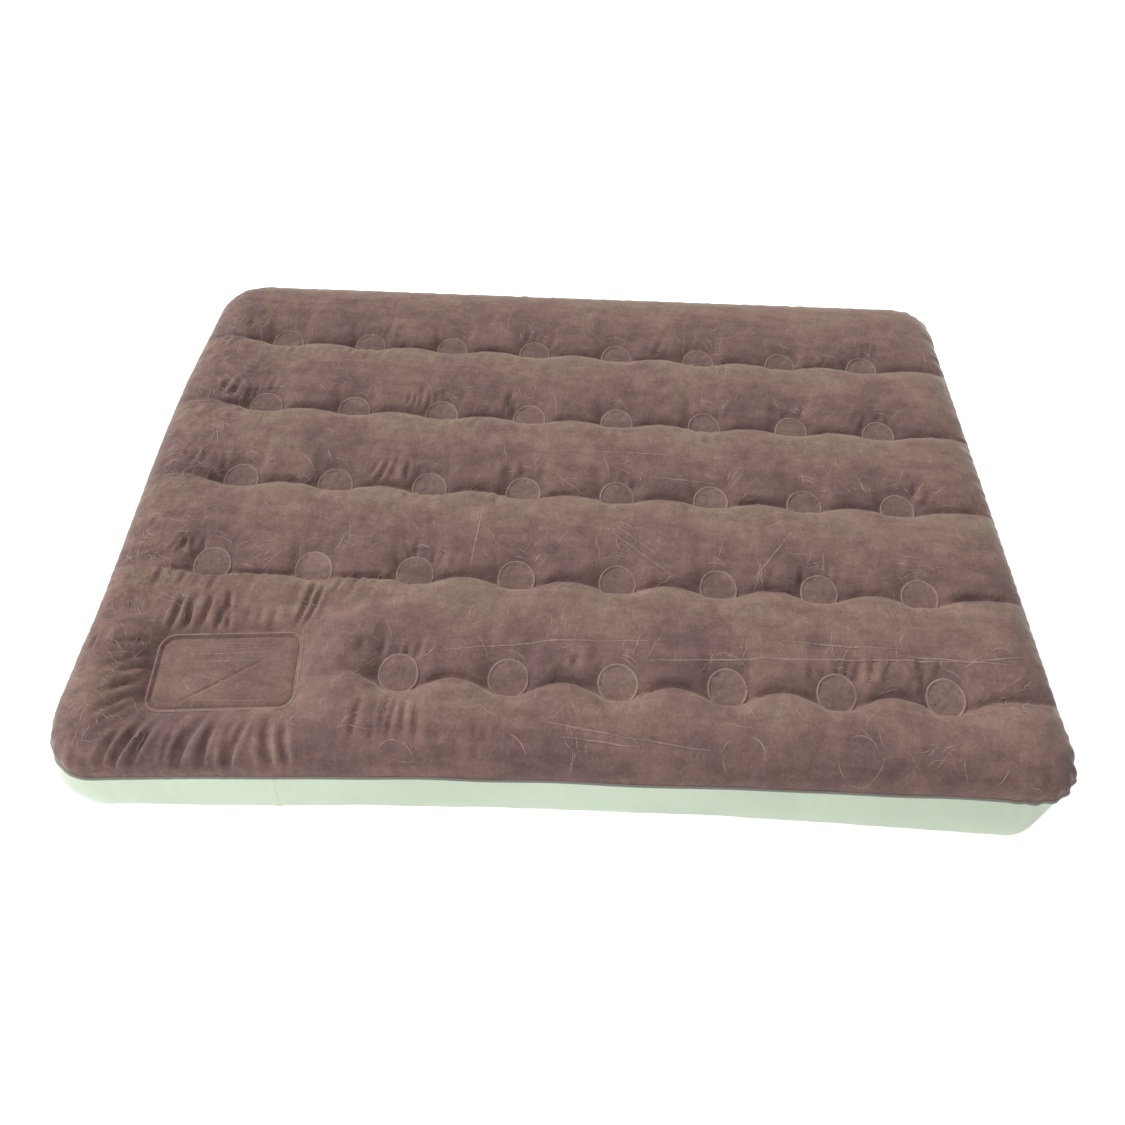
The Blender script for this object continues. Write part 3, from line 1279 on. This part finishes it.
def pocket():
    """The pocket from its weld at the bead down to its floor."""
    low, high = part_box("pump_pocket")
    count, rows, wall = 240, 48, 0.0010
    top_z = high.z - 0.001
    levels = [(0.0100, top_z, 1.0), (0.0060, top_z, 1.0), (0.0025, top_z, 1.0)]
    levels += [(wall, top_z - 0.0008 - (top_z - 0.0024 - low.z) * k / (rows - 1), 1.0) for k in range(rows)]
    levels += [(wall - 0.002, low.z + 0.0004, 1.0)]
    levels += [(wall - 0.002, low.z + 0.0004, share) for share in (0.9, 0.7, 0.4, 0.02)]
    grid = ring_stack(levels, count)
    u, v = pump_local(grid[..., 0], grid[..., 1])
    for side, r in POCKET_HOLES:
        at_side = (u * side > PUMP_L / 2 - 0.004) & (grid[..., 2] > 0.05)
        dy, dz = grid[..., 1] - PORT_Y, grid[..., 2] - PORT_Z
        gap = np.hypot(dy, dz)
        k = onto_circle(gap, r, 0.0026, at_side)
        grid[..., 0] -= dy * (k - 1) * math.tan(PUMP_TURN)
        grid[..., 1] += dy * (k - 1)
        grid[..., 2] += dz * (k - 1)
    points = grid.reshape(-1, 3)
    faces = grid_faces(len(levels), count, close_cols=True)
    middle = points[faces].mean(1)
    keep = np.ones(len(faces), bool)
    for side, r in POCKET_HOLES:
        near = np.hypot(middle[:, 1] - PORT_Y, middle[:, 2] - PORT_Z) < r * INSIDE
        keep &= ~(near & ((middle[:, 0] - PUMP_X) * side > PUMP_L / 2 - 0.02))
    faces = faces[keep].tolist()
    faces.append(list(range(len(points) - count, len(points)))[::-1])
    return mesh_object("pump_pocket_film", points, faces, bottom_film)


pocket_film = pocket()
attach(pocket_film, "bed")
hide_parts("pump_pocket")

# Materials of the CAD nodes that stay
KEPT = {"intake_duct": bottom_film}
for name in ("intake_base", "intake_cap", "outlet_seat", "valve_base", "valve_insert", "valve_cap"):
    KEPT[name] = valve_plastic
for name in ("valve_seal", "valve_flap", "intake_flap", "outlet_flap"):
    KEPT[name] = flap_rubber
for name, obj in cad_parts.items():
    material = coil_film if name.startswith("coil_") else KEPT.get(name)
    if material:
        obj.data.materials.clear()
        obj.data.materials.append(material)


# Floor and light
def floor_material():
    """Pale floor that the camera sees as plain white, with the bed's shadow."""
    s = Shader("floor_white")
    path = s.node("ShaderNodeLightPath")
    seen = s.math("MAXIMUM", path.outputs["Is Camera Ray"], path.outputs["Is Glossy Ray"])
    seen = s.math("MAXIMUM", seen, path.outputs["Is Transmission Ray"])
    plain = s.node("ShaderNodeBsdfDiffuse", {"Color": rgb(0.80, 0.80, 0.80)})
    white = s.node("ShaderNodeEmission", {"Color": rgb(1, 1, 1), "Strength": 0.7})
    lit = s.node("ShaderNodeAddShader", {0: plain.outputs[0], 1: white.outputs[0]})
    pick = s.node("ShaderNodeMixShader", {0: seen, 1: plain.outputs[0], 2: lit.outputs[0]})
    s.node("ShaderNodeOutputMaterial", {0: pick.outputs[0]})
    return s.material


FLOOR = 30.0
FLOOR_Z = -0.001
floor_points = [(x * FLOOR, y * FLOOR, FLOOR_Z) for x, y in ((-1, -1), (1, -1), (1, 1), (-1, 1))]
floor = mesh_object("floor", floor_points, [(0, 1, 2, 3)], floor_material(), False)
floor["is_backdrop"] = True

world = bpy.data.worlds.new("studio")
scene.world = world
world.use_nodes = True
background = world.node_tree.nodes["Background"]
background.inputs["Color"].default_value = rgb(1.0, 1.0, 1.0)
background.inputs["Strength"].default_value = 0.44


def light(name, kind, place, target, energy, **props):
    data = bpy.data.lights.new(name, kind)
    data.energy = energy
    for key, value in props.items():
        setattr(data, key, value)
    obj = bpy.data.objects.new(name, data)
    obj.location = place
    obj.rotation_mode = "QUATERNION"
    obj.rotation_quaternion = (Vector(target) - Vector(place)).to_track_quat("-Z", "Y")
    scene.collection.objects.link(obj)


light("window", "SUN", (-2.8, 2.5, 2.9), (0.0, 0.0, 0.1), 2.75, angle=math.radians(25.0))
light("fill", "AREA", (-1.3, -3.4, 0.9), (-0.2, -0.6, 0.1), 42.0, shape="RECTANGLE", size=3.0, size_y=0.9)

# Camera, as fitted to the lattice of spots in the photo: focal length in pixels of the picture
PICTURE = 1125.0
FOCAL = 845.0
SENSOR = 36.0
CAM_PLACE = (-0.0219, -1.2582, 1.6136)
CAM_ELEVATION, CAM_YAW, CAM_ROLL = math.radians(53.848), math.radians(0.592), math.radians(-3.177)
ce, se = math.cos(CAM_ELEVATION), math.sin(CAM_ELEVATION)
cr, sr = math.cos(CAM_ROLL), math.sin(CAM_ROLL)
forward = Vector((math.sin(CAM_YAW) * ce, math.cos(CAM_YAW) * ce, -se))
right = Vector((math.cos(CAM_YAW), -math.sin(CAM_YAW), 0))
up = right.cross(forward)
axes = Matrix((right * cr - up * sr, right * sr + up * cr, -forward)).transposed()
lens = bpy.data.cameras.new("camera")
lens.sensor_width = SENSOR
lens.lens = FOCAL / PICTURE * lens.sensor_width
lens.clip_start, lens.clip_end = 0.05, 200.0
camera = bpy.data.objects.new("camera", lens)
camera.matrix_world = Matrix.Translation(Vector(CAM_PLACE)) @ axes.to_4x4()
scene.collection.objects.link(camera)
scene.camera = camera
scene.view_settings.view_transform = "Standard"

low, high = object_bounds()
